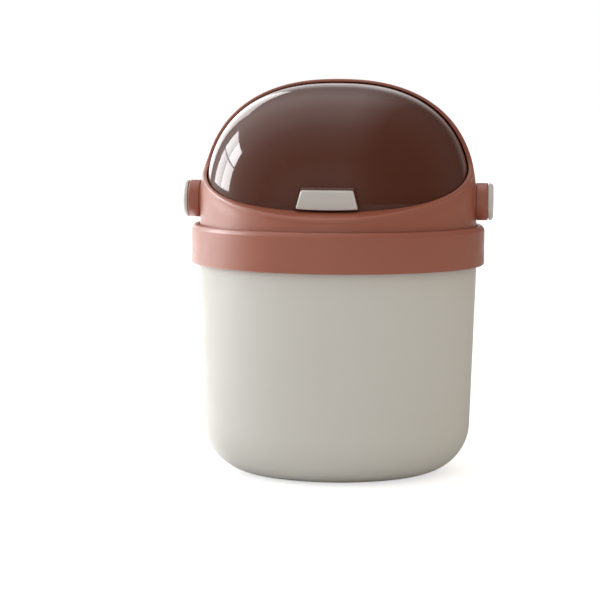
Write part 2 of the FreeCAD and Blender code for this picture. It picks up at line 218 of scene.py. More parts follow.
def place_lamp(name, middle, width, height, glow, aim):
    """A flat lamp that faces a point. Its glow is the brightness that a mirror would show."""
    lamp = bpy.data.lights.new(name, "AREA")
    lamp.shape = "RECTANGLE"
    lamp.size = width
    lamp.size_y = height
    lamp.energy = glow * width * height * math.pi
    lamp.color = lamp_colour
    lamp_object = new_object(name, lamp)
    lamp_object.location = middle
    lamp_object.rotation_euler = (aim - middle).to_track_quat("-Z", "Y").to_euler()
    return lamp_object


print("lamps stand", window_distance, "m from the flap")

# %% Window panes
window_turn = 17.5
pane_width, pane_shift = 0.335, 0.175
front_glow, rear_glow = 13.2, 7.4
lower_panes, upper_panes = (0.32, 0.07, 0.84), (0.29, 0.41, 1.0)
window_middle = flap_middle + leftward(window_turn) * window_distance
for column, glow in ((-1, front_glow), (1, rear_glow)):
    for height, low, share in (lower_panes, upper_panes):
        along = leftward(window_turn + 90) * column * pane_shift
        middle = window_middle + along + Vector((0, 0, low + height / 2))
        aim = middle - leftward(window_turn)
        pane = place_lamp("window_pane", middle, pane_width, height, glow * share, aim)
        pane.visible_diffuse = False
        print(pane.name, "glow", round(glow * share, 2))

# %% Curtain and daylight
curtain_turn, curtain_lift = 62.5, Vector((0, 0, 0.35))
curtain_width, curtain_height, curtain_glow = 0.45, 0.70, 2.2
curtain_middle = flap_middle + leftward(curtain_turn) * window_distance
curtain = place_lamp("pale_curtain", curtain_middle + curtain_lift, curtain_width, curtain_height,
                     curtain_glow, flap_middle + curtain_lift)
curtain.visible_diffuse = False

daylight_turn, daylight_lift = 8, Vector((0, 0, 0.13))
daylight_width, daylight_height, daylight_glow = 0.50, 0.45, 4.2
daylight_middle = flap_middle + leftward(daylight_turn) * window_distance
daylight = place_lamp("window_glow", daylight_middle + daylight_lift, daylight_width,
                      daylight_height, daylight_glow, flap_middle)
daylight.visible_glossy = False
daylight.visible_transmission = False
print("lamps beside the panes:", curtain.name, daylight.name)

# %% [markdown]
# ## Floor
# The bin stands on a wide white table. A plain white sheet under this soft light would come out
# grey, so for the rays that show it the sheet also glows by what is missing to white. The light
# that falls on it still counts, so it keeps the soft shadow under the bin. On the window's side
# the table is bright, and the collar, the bucket and the flap pick that up, so for their rays it
# glows more there and less on the other sides.

# %% Floor finish
table_white, table_in_gloss = (0.85, 0.85, 0.85, 1), (0.35, 0.35, 0.35, 1)
window_side = (-0.7, 0.7, 0)
shade_edge, sun_edge = 0.3, 0.8
shade_glow, sun_glow = 0.1, 4.3
bounce_share, missing_light = 0.12, 0.6
table_finish, tree = new_finish("white_table")
rays = add_node(tree, "ShaderNodeLightPath")
sheet = mix_colours(tree, (rays, "Is Glossy Ray"), table_white, table_in_gloss)
paper = add_node(tree, "ShaderNodeBsdfDiffuse", {"Color": (sheet, mixed_colour)})
place = add_node(tree, "ShaderNodeTexCoord")
way_out = add_node(tree, "ShaderNodeVectorMath", {0: (place, "Object")}, operation="NORMALIZE")
to_window = add_node(tree, "ShaderNodeVectorMath", {0: (way_out, "Vector"), 1: window_side},
                     operation="DOT_PRODUCT")
sunny = add_node(tree, "ShaderNodeMapRange",
                 {"Value": (to_window, "Value"), "From Min": shade_edge, "From Max": sun_edge,
                  "To Min": shade_glow, "To Max": sun_glow})
bounced = add_math(tree, "MULTIPLY_ADD", (rays, "Is Diffuse Ray"), bounce_share,
                   (rays, "Is Glossy Ray"))
dimmed = add_math(tree, "MULTIPLY", (bounced, 0), (sunny, "Result"))
seen = add_math(tree, "MAXIMUM", (rays, "Is Camera Ray"), (dimmed, 0))
seen_too = add_math(tree, "MAXIMUM", (seen, 0), (rays, "Is Transmission Ray"))
missing = add_math(tree, "MULTIPLY", (seen_too, 0), missing_light)
glow = add_node(tree, "ShaderNodeEmission", {"Strength": (missing, 0)})
both = add_node(tree, "ShaderNodeAddShader", {0: (paper, "BSDF"), 1: (glow, "Emission")})
add_node(tree, "ShaderNodeOutputMaterial", {"Surface": (both, 0)})
print("table nodes:", len(tree.nodes))

# %% Floor
def mesh_from(bm, name):
    """A mesh with the shape of a bmesh, which is freed."""
    mesh = bpy.data.meshes.new(name)
    bm.to_mesh(mesh)
    bm.free()
    return mesh


floor_half_width = 6
bm = bmesh.new()
bmesh.ops.create_grid(bm, x_segments=1, y_segments=1, size=floor_half_width)
floor_mesh = mesh_from(bm, "floor")
floor_mesh.materials.append(table_finish)
floor = new_object("floor", floor_mesh)
print("floor:", len(floor_mesh.polygons), "face")

# %% [markdown]
# ## The moulded grain
# The bucket, the collar, the hood, the knobs and the tab are moulded plastic. Such a skin copies
# the fine spark-eroded texture of its mould, and its colour drifts a little where the melt flowed.
# Each finish could have its own noise, but all of them share this one, so it is made once as a
# node group and each finish places it with its own values.

# %% Moulded grain group
def make_grain_group():
    """A colour that drifts, a roughness that varies and the height of a fine grain."""
    group = bpy.data.node_groups.new("moulded_grain", "ShaderNodeTree")
    face = group.interface
    for name, kind, value in (("Plain Color", "NodeSocketColor", (0.5, 0.5, 0.5, 1)),
                              ("Drift Color", "NodeSocketColor", (0.4, 0.4, 0.4, 1)),
                              ("Drift", "NodeSocketFloat", 0.5),
                              ("Roughness Low", "NodeSocketFloat", 0.4),
                              ("Roughness High", "NodeSocketFloat", 0.5),
                              ("Grains", "NodeSocketFloat", 3000.0),
                              ("Stretch", "NodeSocketVector", (1.0, 1.0, 1.0))):
        face.new_socket(name, in_out="INPUT", socket_type=kind).default_value = value
    for name, kind in (("Color", "NodeSocketColor"), ("Roughness", "NodeSocketFloat"),
                       ("Height", "NodeSocketFloat")):
        face.new_socket(name, in_out="OUTPUT", socket_type=kind)
    given = add_node(group, "NodeGroupInput")
    place = add_node(group, "ShaderNodeTexCoord")

    stretched = add_node(group, "ShaderNodeVectorMath",
                         {0: (place, "Object"), 1: (given, "Stretch")}, operation="MULTIPLY")
    flow = add_node(group, "ShaderNodeTexNoise",
                    {"Vector": (stretched, "Vector"), "Scale": 26, "Detail": 4, "Distortion": 0.6})
    amount = add_math(group, "MULTIPLY", (flow, "Fac"), (given, "Drift"))
    tint = mix_colours(group, (amount, 0), (given, "Plain Color"), (given, "Drift Color"))
    grain = add_node(group, "ShaderNodeTexNoise",
                     {"Vector": (place, "Object"), "Scale": (given, "Grains"), "Detail": 3,
                      "Roughness": 0.6})
    rub = add_node(group, "ShaderNodeTexNoise",
                   {"Vector": (place, "Object"), "Scale": 140, "Detail": 5})
    shine = add_node(group, "ShaderNodeMapRange",
                     {"Value": (rub, "Fac"), "From Min": 0.3, "From Max": 0.7,
                      "To Min": (given, "Roughness Low"), "To Max": (given, "Roughness High")})
    add_node(group, "NodeGroupOutput",
             {"Color": (tint, mixed_colour), "Roughness": (shine, "Result"),
              "Height": (grain, "Fac")})
    return group


grain_group = make_grain_group()
print("moulded_grain nodes:", len(grain_group.nodes))

# %% [markdown]
# ## Rubbed edges and painted highlights
# Hands polish the outer edges of a moulding until they are a little paler than its flats. Where the
# paler line is turned up strongly, as on the trim, it is a painted highlight along the edges. Edges
# could be marked one by one, but the surface's own pointiness already tells them from flats, and a
# noise breaks the paler line into patches.

# %% Rubbed edge and painted highlight group
def make_edge_group():
    """A colour that turns to an edge colour in patches along the outer edges."""
    group = bpy.data.node_groups.new("rubbed_edge_and_highlight", "ShaderNodeTree")
    face = group.interface
    for name, kind in (("Color", "NodeSocketColor"), ("Edge Color", "NodeSocketColor"),
                       ("Wear And Highlight", "NodeSocketFloat")):
        face.new_socket(name, in_out="INPUT", socket_type=kind)
    face.new_socket("Color", in_out="OUTPUT", socket_type="NodeSocketColor")
    given = add_node(group, "NodeGroupInput")
    shape = add_node(group, "ShaderNodeNewGeometry")
    place = add_node(group, "ShaderNodeTexCoord")

    edge = add_node(group, "ShaderNodeMapRange",
                    {"Value": (shape, "Pointiness"), "From Min": 0.505, "From Max": 0.58})
    patches = add_node(group, "ShaderNodeTexNoise",
                       {"Vector": (place, "Object"), "Scale": 300, "Detail": 3})
    broken = add_math(group, "MULTIPLY", (edge, "Result"), (patches, "Fac"))
    amount = add_math(group, "MULTIPLY", (broken, 0), (given, "Wear And Highlight"))
    tint = mix_colours(group, (amount, 0), (given, "Color"), (given, "Edge Color"))
    add_node(group, "NodeGroupOutput", {"Color": (tint, mixed_colour)})
    return group


edge_group = make_edge_group()
print("rubbed_edge_and_highlight nodes:", len(edge_group.nodes))

# %% [markdown]
# ## Moulded plastics
# Three finishes use both groups: a satin off-white for the bucket, a fine matte terracotta for the
# collar, hood and knobs, and a warmer off-white trim for the tab and the end caps, whose edges
# carry a strong painted highlight. They could be three separate recipes, but one function makes
# them, so
# that they differ only in their values: most differ on the real bin, and the trim's edge highlight
# is painted light.

# %% Moulded finish
plastic_ior = 1.49
grain_height = 0.05 * mm


def moulded_plastic(name, plain, drift, edge, rough, grains, bump, shine, wear_and_highlight=0.5,
                    streaks=(1, 1, 1)):
    """A moulded skin with a drifting colour, paler edges and a fine grain."""
    finish, tree = new_finish(name)
    grain = add_node(tree, "ShaderNodeGroup",
                     {"Plain Color": (*plain, 1), "Drift Color": (*drift, 1),
                      "Roughness Low": rough[0], "Roughness High": rough[1],
                      "Grains": grains, "Stretch": streaks}, node_tree=grain_group)
    worn = add_node(tree, "ShaderNodeGroup",
                    {"Color": (grain, "Color"), "Edge Color": (*edge, 1), "Wear And Highlight": wear_and_highlight},
                    node_tree=edge_group)
    relief = add_node(tree, "ShaderNodeBump",
                      {"Height": (grain, "Height"), "Strength": bump, "Distance": grain_height})
    skin = add_node(tree, "ShaderNodeBsdfPrincipled",
                    {"Base Color": (worn, "Color"), "Roughness": (grain, "Roughness"),
                     "Normal": (relief, "Normal"), "IOR": plastic_ior,
                     "Specular IOR Level": shine})
    add_node(tree, "ShaderNodeOutputMaterial", {"Surface": (skin, "BSDF")})
    print(name, "nodes:", len(tree.nodes))
    return finish


# %% Terracotta, bucket and trim
terracotta = moulded_plastic(
    "matte_terracotta", plain=(0.44, 0.128, 0.072), drift=(0.39, 0.107, 0.057),
    edge=(0.55, 0.24, 0.17), rough=(0.34, 0.46), grains=2600, bump=0.45, shine=0.98)
bucket_white = moulded_plastic(
    "satin_bucket_white", plain=(0.765, 0.743, 0.688), drift=(0.73, 0.707, 0.647),
    edge=(0.82, 0.80, 0.76), rough=(0.40, 0.52), grains=2200, bump=0.25, shine=0.32)
# The trim's pale edge colour, turned up strongly, paints a highlight along the edges of the tab and
# the caps.
trim_white = moulded_plastic(
    "satin_trim_white", plain=(0.70, 0.665, 0.62), drift=(0.54, 0.53, 0.495),
    edge=(0.95, 0.89, 0.85), rough=(0.36, 0.48), grains=3200, bump=0.3, shine=0.5, wear_and_highlight=2.2,
    # On the trim the colour drift is stretched into fine level bands.
    streaks=(0.3, 0.3, 40))

# %% [markdown]
# ## Smoked plastic
# The flap is a polished red-brown plastic that lets a little light through. Clear glass with a
# brown colour would turn black over the dark inside, so part of the light scatters in the plastic
# itself. A thin haze of finger marks keeps its gloss from being perfect.

# %% Smoked finish
clear_share = 0.5
smoked, tree = new_finish("smoked_plastic")
place = add_node(tree, "ShaderNodeTexCoord")
cloud = add_node(tree, "ShaderNodeTexNoise",
                 {"Vector": (place, "Object"), "Scale": 18, "Detail": 3})
tint = mix_colours(tree, (cloud, "Fac"), (0.245, 0.082, 0.050, 1), (0.190, 0.060, 0.036, 1))
marks = add_node(tree, "ShaderNodeTexNoise",
                 {"Vector": (place, "Object"), "Scale": 90, "Detail": 6, "Distortion": 1.2})
haze = add_node(tree, "ShaderNodeMapRange",
                {"Value": (marks, "Fac"), "From Min": 0.45, "From Max": 0.75,
                 "To Min": 0.035, "To Max": 0.11})
wave = add_node(tree, "ShaderNodeBump",
                {"Height": (cloud, "Fac"), "Strength": 0.05, "Distance": 0.1 * mm})
skin = add_node(tree, "ShaderNodeBsdfPrincipled",
                {"Base Color": (tint, mixed_colour), "Roughness": (haze, "Result"),
                 "Normal": (wave, "Normal"), "IOR": plastic_ior,
                 "Transmission Weight": clear_share})
add_node(tree, "ShaderNodeOutputMaterial", {"Surface": (skin, "BSDF")})
print("smoked nodes:", len(tree.nodes))

# %% [markdown]
# ## Turned pieces
# The bucket, the collar, the knobs and their caps are round. A round piece could be sculpted from
# a cylinder, but it is cleaner to draw half of its section as a line, round each corner of that
# line, and spin it about the axis. The same line then gives the outside, the rim and the inside.

# %% Section helpers
pivot = Vector((0, 0, 124.6 * mm))
merge_gap = 0.001 * mm
large_rounding, large_segments, small_segments = 5, 20, 6


def upright(radius, along):
    """A place in the section of a piece that is round about the bin's middle line."""
    return Vector((radius * mm, 0, along * mm))


def on_pivot(radius, along):
    """A place in the section of a piece that is round about the knobs' line."""
    return pivot + Vector((along * mm, 0, radius * mm))


def soften(bm, geom, offset, segments, affect="EDGES"):
    """Rounds edges, or the corners of a line, by an offset in metres."""
    bmesh.ops.bevel(bm, geom=geom, offset=offset, offset_type="OFFSET", segments=segments,
                    profile=0.5, affect=affect, material=-1)


def draw_line(bm, places, closed):
    """Edges through some places, which may lead back to the first of them."""
    points = [bm.verts.new(place) for place in places]
    ends = points[1:] + points[:1] if closed else points[1:]
    for start, end in zip(points, ends):
        bm.edges.new((start, end))
    return points


def draw_section(bm, corners, where, closed):
    """Joins (radius, along, rounding) corners in millimetres and rounds each of them."""
    places = [where(radius, along) for radius, along, rounding in corners]
    points = draw_line(bm, places, closed)
    for index, (radius, along, rounding) in enumerate(corners):
        if rounding == 0:
            continue
        before = places[index - 1] - places[index]
        after = places[(index + 1) % len(places)] - places[index]
        cut_back = rounding * mm / math.tan(before.angle(after) / 2)
        segments = large_segments if rounding > large_rounding else small_segments
        soften(bm, [points[index]], cut_back, segments, affect="VERTICES")


# %% Spin helpers
def spin_line(bm, centre, axis, angle, steps, merge):
    """Spins what is drawn about an axis."""
    bmesh.ops.spin(bm, geom=bm.verts[:] + bm.edges[:], cent=centre, axis=axis, dvec=(0, 0, 0),
                   angle=angle, space=Matrix.Identity(4), steps=steps, use_merge=merge,
                   use_normal_flip=False, use_duplicate=False)


def spin_section(corners, where, axis, steps, closed=False):
    """A closed round solid from one half of its section."""
    bm = bmesh.new()
    draw_section(bm, corners, where, closed)
    spin_line(bm, where(0, 0), axis, 2 * math.pi, steps, merge=True)
    bmesh.ops.remove_doubles(bm, verts=bm.verts[:], dist=merge_gap)
    bmesh.ops.recalc_face_normals(bm, faces=bm.faces[:])
    return bm


# %% [markdown]
# ## Keeping a piece
# A finished mesh becomes an object that rides on one of the frame's bodies and stands for the
# solids that it covers. Its faces are shaded smoothly, and edges sharper than an angle stay crisp.
# The same few lines could follow each piece, but one function keeps them alike.

# %% Piece helper
sharp_angle = math.radians(38)


def keep_piece(bm, name, body, nodes, finish):
    """Makes the mesh an object that rides on a body and stands for its solids."""
    mesh = mesh_from(bm, name)
    for face in mesh.polygons:
        face.use_smooth = True
    mesh.set_sharp_from_angle(angle=sharp_angle)
    mesh.materials.append(finish)
    piece = new_object(name, mesh)
    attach(piece, body)
    if nodes:
        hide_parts(*nodes)
    low = [round(min(v.co[i] for v in mesh.vertices) / mm, 2) for i in range(3)]
    high = [round(max(v.co[i] for v in mesh.vertices) / mm, 2) for i in range(3)]
    print(name, "faces", len(mesh.polygons), "from", low, "to", high, "mm")
    return piece


# %% [markdown]
# ## Bucket
# The bucket is one moulding: a foot ring under a dished base, a large round corner, a wall that
# leans out slightly, and a rolled rim. It could be a hollowed cylinder, but then the foot and the
# rim would be extra work. Its section runs from the middle of the underside, up the outside, over
# the rim and back to the middle of the inner floor, so a spin closes it.

# %% Bucket
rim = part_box("bin_body")[1] / mm
taper, bucket_wall, inner_floor = 3.6, 2.2, 3.6
base_corner, dish_depth, foot_width, rim_round = 22.5, 1.0, 4, 0.7
base_line = rim.x - taper
lean = math.atan2(taper, rim.z)
wall_across = bucket_wall / math.cos(lean)
foot_inner = base_line - base_corner * math.tan((math.pi / 2 - lean) / 2) - foot_width
floor_line = base_line + inner_floor * math.tan(lean) - wall_across
bucket_section = [
    (0, dish_depth, 0),
    (foot_inner, dish_depth, 0.4),
    (foot_inner, 0, 0.3),
    (base_line, 0, base_corner),
    (rim.x, rim.z, rim_round),
    (rim.x - wall_across, rim.z, rim_round),
    (floor_line, inner_floor, base_corner - bucket_wall),
    (0, inner_floor, 0),
]
bm = spin_section(bucket_section, upright, (0, 0, 1), steps=192)
keep_piece(bm, "bucket", "bin", ["bin_body"], bucket_white)

# %% [markdown]
# ## Collar
# The collar is a ring that hangs over the bucket's rim, with a short spigot inside the bucket and
# a seat for the hood on top. Its outer top edge is a short sloped shoulder that catches the light
# as a thin line. It could be joined from two tubes, but one section has all of it. The ring never
# reaches the middle, so its section is a closed loop.

# %% Collar
collar_low, collar_high = [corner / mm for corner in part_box("collar")]
spigot_inner, spigot_outer, spigot_end = 59.3, 61.1, 101.0
skirt_inner, rim_stop = 65.0, 109.0
recess_side, hood_seat = 64.0, 111.4
shoulder_drop, shoulder_width = 1.9, 1.15
collar_section = [
    (spigot_inner, spigot_end, 0.5),
    (spigot_outer, spigot_end, 0.5),
    (spigot_outer, rim_stop, 0),
    (skirt_inner, rim_stop, 0),
    (skirt_inner, collar_low.z, 0.5),
    (collar_high.x, collar_low.z, 1.0),
    (collar_high.x, collar_high.z - shoulder_drop, 0.6),
    (collar_high.x - shoulder_width, collar_high.z, 1.3),
    (recess_side, collar_high.z, 0.5),
    (recess_side, hood_seat, 0),
    (spigot_inner, hood_seat, 0.5),
]
bm = spin_section(collar_section, upright, (0, 0, 1), steps=192, closed=True)
keep_piece(bm, "collar_ring", "lid", ["collar"], terracotta)

# %% [markdown]
# ## Hood
# The hood is a dome with its front cut away, and a rounded lip runs round the opening close to the
# flap. Beside the lip the skin is sunk a little and comes back softly, which draws a faint line
# along the opening. A dome that is cut by planes keeps ragged cells along the cut. Instead, a grid
# is wrapped round the opening: its columns fan out from the middle of the opening, and its rows
# run from the lip, over the rounded edge and down to the foot, so the cells follow the lip and the
# edge shines evenly.

# %% Hood and mouth shapes
hood_side, hood_top, hood_power = 63.2, 55.4, 2.35
foot_drop, foot_flare = 13.2, 0.5
mouth_slope = math.radians(18.5)
mouth_lean = math.radians(2.1)
mouth_sill, mouth_rear, mouth_corner = 5.2, 1.0, 9.0
flap_side, flap_top, flap_power = 60.4, 53.6, 2.4
lip_gap = 0.55


def on_hood(way):
    """Where a ray from the pivot leaves the hood, in millimetres from the pivot."""
    level = math.hypot(way.x, way.y)
    if way.z >= 0:
        share = (level / hood_side) ** hood_power + (way.z / hood_top) ** hood_power
        return way * share ** (-1 / hood_power)
    drop = hood_side * -way.z / level
    return way * ((hood_side + foot_flare * (drop / foot_drop) ** 2) / level)


def mouth_depth(point):
    """How far a point lies inside the open front, below zero outside it."""
    from_front = point.y + hood_side
    over = (point.z + mouth_sill - from_front * math.tan(mouth_slope)) * math.cos(mouth_slope)
    ahead = (mouth_rear + point.z * math.tan(mouth_lean) - point.y) * math.cos(mouth_lean)
    share = math.sin(mouth_slope + mouth_lean)
    lack_over, lack_ahead = mouth_corner - over, mouth_corner - ahead
    if lack_over > share * lack_ahead and lack_ahead > share * lack_over:
        square = lack_over ** 2 + lack_ahead ** 2 - 2 * share * lack_over * lack_ahead
        return mouth_corner - math.sqrt(square / (1 - share ** 2))
    return min(over, ahead)


def flap_room(point):
    """Above zero outside the flap's round space and its gap, below zero inside."""
    across = abs(point.x) / (flap_side + lip_gap)
    around = math.hypot(point.y, point.z) / (flap_top + lip_gap)
    return across ** flap_power + around ** flap_power - 1


print("hood at the front:", [round(c, 2) for c in on_hood(Vector((0, -1, 0)))])

# %% Hood columns
mouth_tilt = math.radians(48)
mouth_way = Vector((0, -math.cos(mouth_tilt), math.sin(mouth_tilt)))
mouth_across = Vector((1, 0, 0))
mouth_up = mouth_across.cross(mouth_way) * -1
fan_start, fan_end, fan_foot = math.radians(3), math.radians(150), math.radians(165)
widest_lip, small_step, halvings = 16.0, 0.01, 40


def last_true(test, low, high):
    """The largest value between two ends for which the test still holds."""
    for halving in range(halvings):
        middle = (low + high) / 2
        low, high = (middle, high) if test(middle) else (low, middle)
    return low


def fan_place(turn, open_angle):
    """A place on the hood at an angle from the middle of the mouth."""
    spoke = mouth_across * math.cos(turn) + mouth_up * math.sin(turn)
    return on_hood(mouth_way * math.cos(open_angle) + spoke * math.sin(open_angle))


def hood_column(turn):
    """The places that shape one column: the lip, its rounded edge and the wall's two ends."""
    edge_angle = last_true(lambda a: mouth_depth(fan_place(turn, a)) > 0, fan_start, fan_end)
    foot_angle = last_true(lambda a: fan_place(turn, a).z > -foot_drop, edge_angle, fan_foot)
    edge = fan_place(turn, edge_angle)
    depth = mouth_depth(edge)
    slope = Vector((0, mouth_depth(edge + Vector((0, small_step, 0))) - depth,
                    mouth_depth(edge + Vector((0, 0, small_step))) - depth)).normalized()
    inward = -edge.normalized()
    inward = (inward - slope * inward.dot(slope)).normalized()
    lip_width = last_true(lambda s: flap_room(edge + inward * s) > 0, 0.0, widest_lip)
    return edge, inward, lip_width, edge_angle, foot_angle


hood_columns = 288
columns = [hood_column(2 * math.pi * index / hood_columns) for index in range(hood_columns)]
widths = [column[2] for column in columns]
print("lip width from", round(min(widths), 2), "to", round(max(widths), 2), "mm")

# %% Hood skin
lip_rows, round_rows, crease_rows, wall_rows = 4, 8, 20, 28
hood_rows = lip_rows + round_rows + crease_rows + wall_rows
edge_round, round_share = 1.3, 0.75
crease_reach, crease_middle, crease_half, crease_depth = 6.0, 0.8, 0.4, 0.3


def crease_sink(along):
    """How deep the soft crease is at a distance from the rounded edge."""
    past = along - crease_middle
    if past < 0:
        return crease_depth * math.exp(-(past / crease_half) ** 2)
    return crease_depth * (1 + math.cos(math.pi * past / (crease_reach - crease_middle))) / 2


def hood_place(index, row):
    """One point of the hood's skin, in millimetres from the pivot."""
    turn = 2 * math.pi * index / hood_columns
    edge, inward, lip_width, edge_angle, foot_angle = columns[index % hood_columns]
    rounding = min(edge_round, round_share * lip_width)
    wall_angle = edge_angle + edge_round / edge.length
    if row <= lip_rows:
        return edge + inward * (lip_width + (rounding - lip_width) * row / lip_rows)
    if row <= lip_rows + round_rows:
        t = (row - lip_rows) / round_rows
        start = edge + inward * rounding
        end = fan_place(turn, wall_angle)
        return start * (1 - t) ** 2 + edge * (2 * t * (1 - t)) + end * t ** 2
    row -= lip_rows + round_rows
    crease_end = wall_angle + crease_reach / edge.length
    if row <= crease_rows:
        place = fan_place(turn, wall_angle + (crease_end - wall_angle) * row / crease_rows)
        return place - place.normalized() * crease_sink(crease_reach * row / crease_rows)
    t = (row - crease_rows) / wall_rows
    return fan_place(turn, crease_end + (foot_angle - crease_end) * t)


print("hood grid:", hood_columns, "columns,", hood_rows, "rows")

# %% Hood shell
hood_wall = 1.2
bm = bmesh.new()
bmesh.ops.create_grid(bm, x_segments=hood_columns, y_segments=hood_rows, size=1)
for vert in bm.verts:
    index = round((vert.co.x + 1) / 2 * hood_columns)
    row = round((vert.co.y + 1) / 2 * hood_rows)
    vert.co = pivot + hood_place(index, row) * mm
bmesh.ops.remove_doubles(bm, verts=bm.verts[:], dist=merge_gap)
bmesh.ops.recalc_face_normals(bm, faces=bm.faces[:])
if sum(face.normal.dot(face.calc_center_median() - pivot) for face in bm.faces) < 0:
    bmesh.ops.reverse_faces(bm, faces=bm.faces[:])
print("hood skin open edges", sum(len(edge.link_faces) == 1 for edge in bm.edges))
hood = keep_piece(bm, "hood_shell", "lid", ["hood"], terracotta)
wall = hood.modifiers.new("wall", "SOLIDIFY")
wall.thickness = hood_wall * mm
wall.offset = -1

# %% [markdown]
# ## Hood's bosses and ledges
# A round boss on each side of the hood carries the knob's sleeve, and two small ledges inside its
# front carry the soft stops. They could be cut into the hood's grid, but its cells would have to
# bend round them. They are separate shapes that meet the hood's wall, and they are joined to one
# piece because they are moulded with the hood.

# %% Ring helpers
def mirrored(section, side):
    """A section about the knobs' line for the right side (1) or the left side (-1)."""
    return [(radius, along * side, rounding) for radius, along, rounding in section]


def add_rings(bm, section, steps):
    """Adds a turned ring on each side to a piece."""
    for side in (1, -1):
        ring = spin_section(mirrored(section, side), on_pivot, (1, 0, 0), steps, closed=True)
        mesh = mesh_from(ring, "ring")
        bm.from_mesh(mesh)
        bpy.data.meshes.remove(mesh)
    print("faces after the rings:", len(bm.faces))


# %% Bosses and ledges
boss_bore, boss_inner, boss_outer = 4.05, 7.5, 8.4
boss_start, boss_step, boss_end = 60.6, 61.6, 63.4
boss_section = [(boss_bore, boss_start, 0), (boss_inner, boss_start, 0.3),
                (boss_inner, boss_step, 0), (boss_outer, boss_step, 0),
                (boss_outer, boss_end, 0.1), (boss_bore, boss_end, 0)]
bm = bmesh.new()
add_rings(bm, boss_section, steps=96)

soft_edge = 0.3 * mm
ledge_size = Vector((9 * mm, 12 * mm, 2.2 * mm))
ledge_side, ledge_lap = 20 * mm, 0.8 * mm
pads_low, pads_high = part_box("stop_pads")
for side in (1, -1):
    ledge = bmesh.ops.create_cube(bm, size=1)["verts"]
    middle = Vector((side * ledge_side, pads_high.y + ledge_lap - ledge_size.y / 2,
                     pads_low.z - ledge_size.z / 2))
    bmesh.ops.scale(bm, vec=ledge_size, verts=ledge)
    bmesh.ops.translate(bm, vec=middle, verts=ledge)
    edges = [edge for edge in bm.edges if set(ledge).issuperset(edge.verts)]
    soften(bm, edges, soft_edge, segments=2)
bmesh.ops.recalc_face_normals(bm, faces=bm.faces[:])
keep_piece(bm, "hood_bosses", "lid", [], terracotta)

# %% [markdown]
# ## Smoked flap
# The flap is part of a round shell about the knobs' line, from just under the front edge to a
# little past the top. It could be cut from a dome, but its section is only a thin curved strip.
# Spinning that strip through the flap's angle gives both faces at once, and the two open ends are
# then filled and softened.

# %% Flap strip
flap_front, flap_sweep = math.radians(-6), math.radians(109)
flap_wall, cheek_outer, cheek_low = 1.8, 59.2, 8.9
cheek_inner = cheek_outer - flap_wall
flap_columns, flap_steps = 120, 110


def flap_line(side, top, cheek):
    """(across, radius) places from one cheek over the dome to the other."""
    end = math.acos((cheek / side) ** (flap_power / 2))
    places = []
    for step in range(flap_columns + 1):
        turn = end + (math.pi - 2 * end) * step / flap_columns
        across = math.copysign(abs(math.cos(turn)) ** (2 / flap_power), math.cos(turn))
        places.append((side * across, top * math.sin(turn) ** (2 / flap_power)))
    return places


outside = flap_line(flap_side, flap_top, cheek_outer)
inside = flap_line(flap_side - flap_wall, flap_top - flap_wall, cheek_inner)
strip = [(cheek_outer, cheek_low)] + outside + [(-cheek_outer, cheek_low)]
strip += [(-cheek_inner, cheek_low)] + inside[::-1] + [(cheek_inner, cheek_low)]
print("flap strip:", len(strip), "places")

# %% Flap
cheek_reach = 30


def beyond(edge, radius):
    """Whether an edge is further from the knobs' line than a radius in millimetres."""
    return all((vert.co - pivot).yz.length > radius * mm for vert in edge.verts)


places = []
for across, radius in strip:
    away = Vector((across, -radius * math.cos(flap_front), radius * math.sin(flap_front)))
    places.append(pivot + away * mm)
bm = bmesh.new()
draw_line(bm, places, closed=True)
spin_line(bm, pivot, (-1, 0, 0), flap_sweep, flap_steps, merge=False)
open_edges = [edge for edge in bm.edges if len(edge.link_faces) == 1]
ends = bmesh.ops.holes_fill(bm, edges=open_edges, sides=0)["faces"]
bmesh.ops.recalc_face_normals(bm, faces=bm.faces[:])
far = [edge for edge in open_edges if beyond(edge, cheek_reach)]
soften(bm, far, soft_edge, segments=2)
print("flap ends filled:", len(ends), "edges softened:", len(far))

axle_hole, screw_hole, hub_radius, hub_flange = 2.55, 1.25, 5.5, 9.0
hub_end, axle_end = 53.6, 55.2
hub_section = [(axle_hole, cheek_outer, 0), (hub_flange, cheek_outer, 0.3),
               (hub_flange, cheek_inner, 0.3), (hub_radius, cheek_inner, 0),
               (hub_radius, hub_end, 0.4), (screw_hole, hub_end, 0),
               (screw_hole, axle_end, 0), (axle_hole, axle_end, 0)]
add_rings(bm, hub_section, steps=64)
keep_piece(bm, "smoked_flap", "flap", ["dome_flap"], smoked)

# %% [markdown]
# ## Finger tab
# The tab is a small pale plate, narrower at its top, that follows the flap's curve. It stands on a
# plinth of the flap's own smoked plastic, which shows as a sloped strip above it, and two studs
# hold it through the flap. A flat block could be bent by a modifier, but a grid that is shaped to
# the outline and laid on the curve fits exactly. It is given a thickness back to the flap, and its
# corners and edges are rounded.

# %% Tab and plinth shapes
tab_low, tab_high, tab_bow = -1.2, 7.1, 0.46
tab_low_width, tab_high_width = 27.4, 22.9
plinth_rise, tab_seat, tab_rise = 2.4, 2.5, 3.7
plate_columns, plate_rows = 24, 8


def on_flap(across, up, rise):
    """A place on the flap's front, in millimetres from the pivot, moved out by a rise."""
    share = 1 - (abs(across) / (flap_side + rise)) ** flap_power
    radius = (flap_top + rise) * share ** (1 / flap_power)
    return Vector((across, -math.sqrt(radius ** 2 - up ** 2), up))


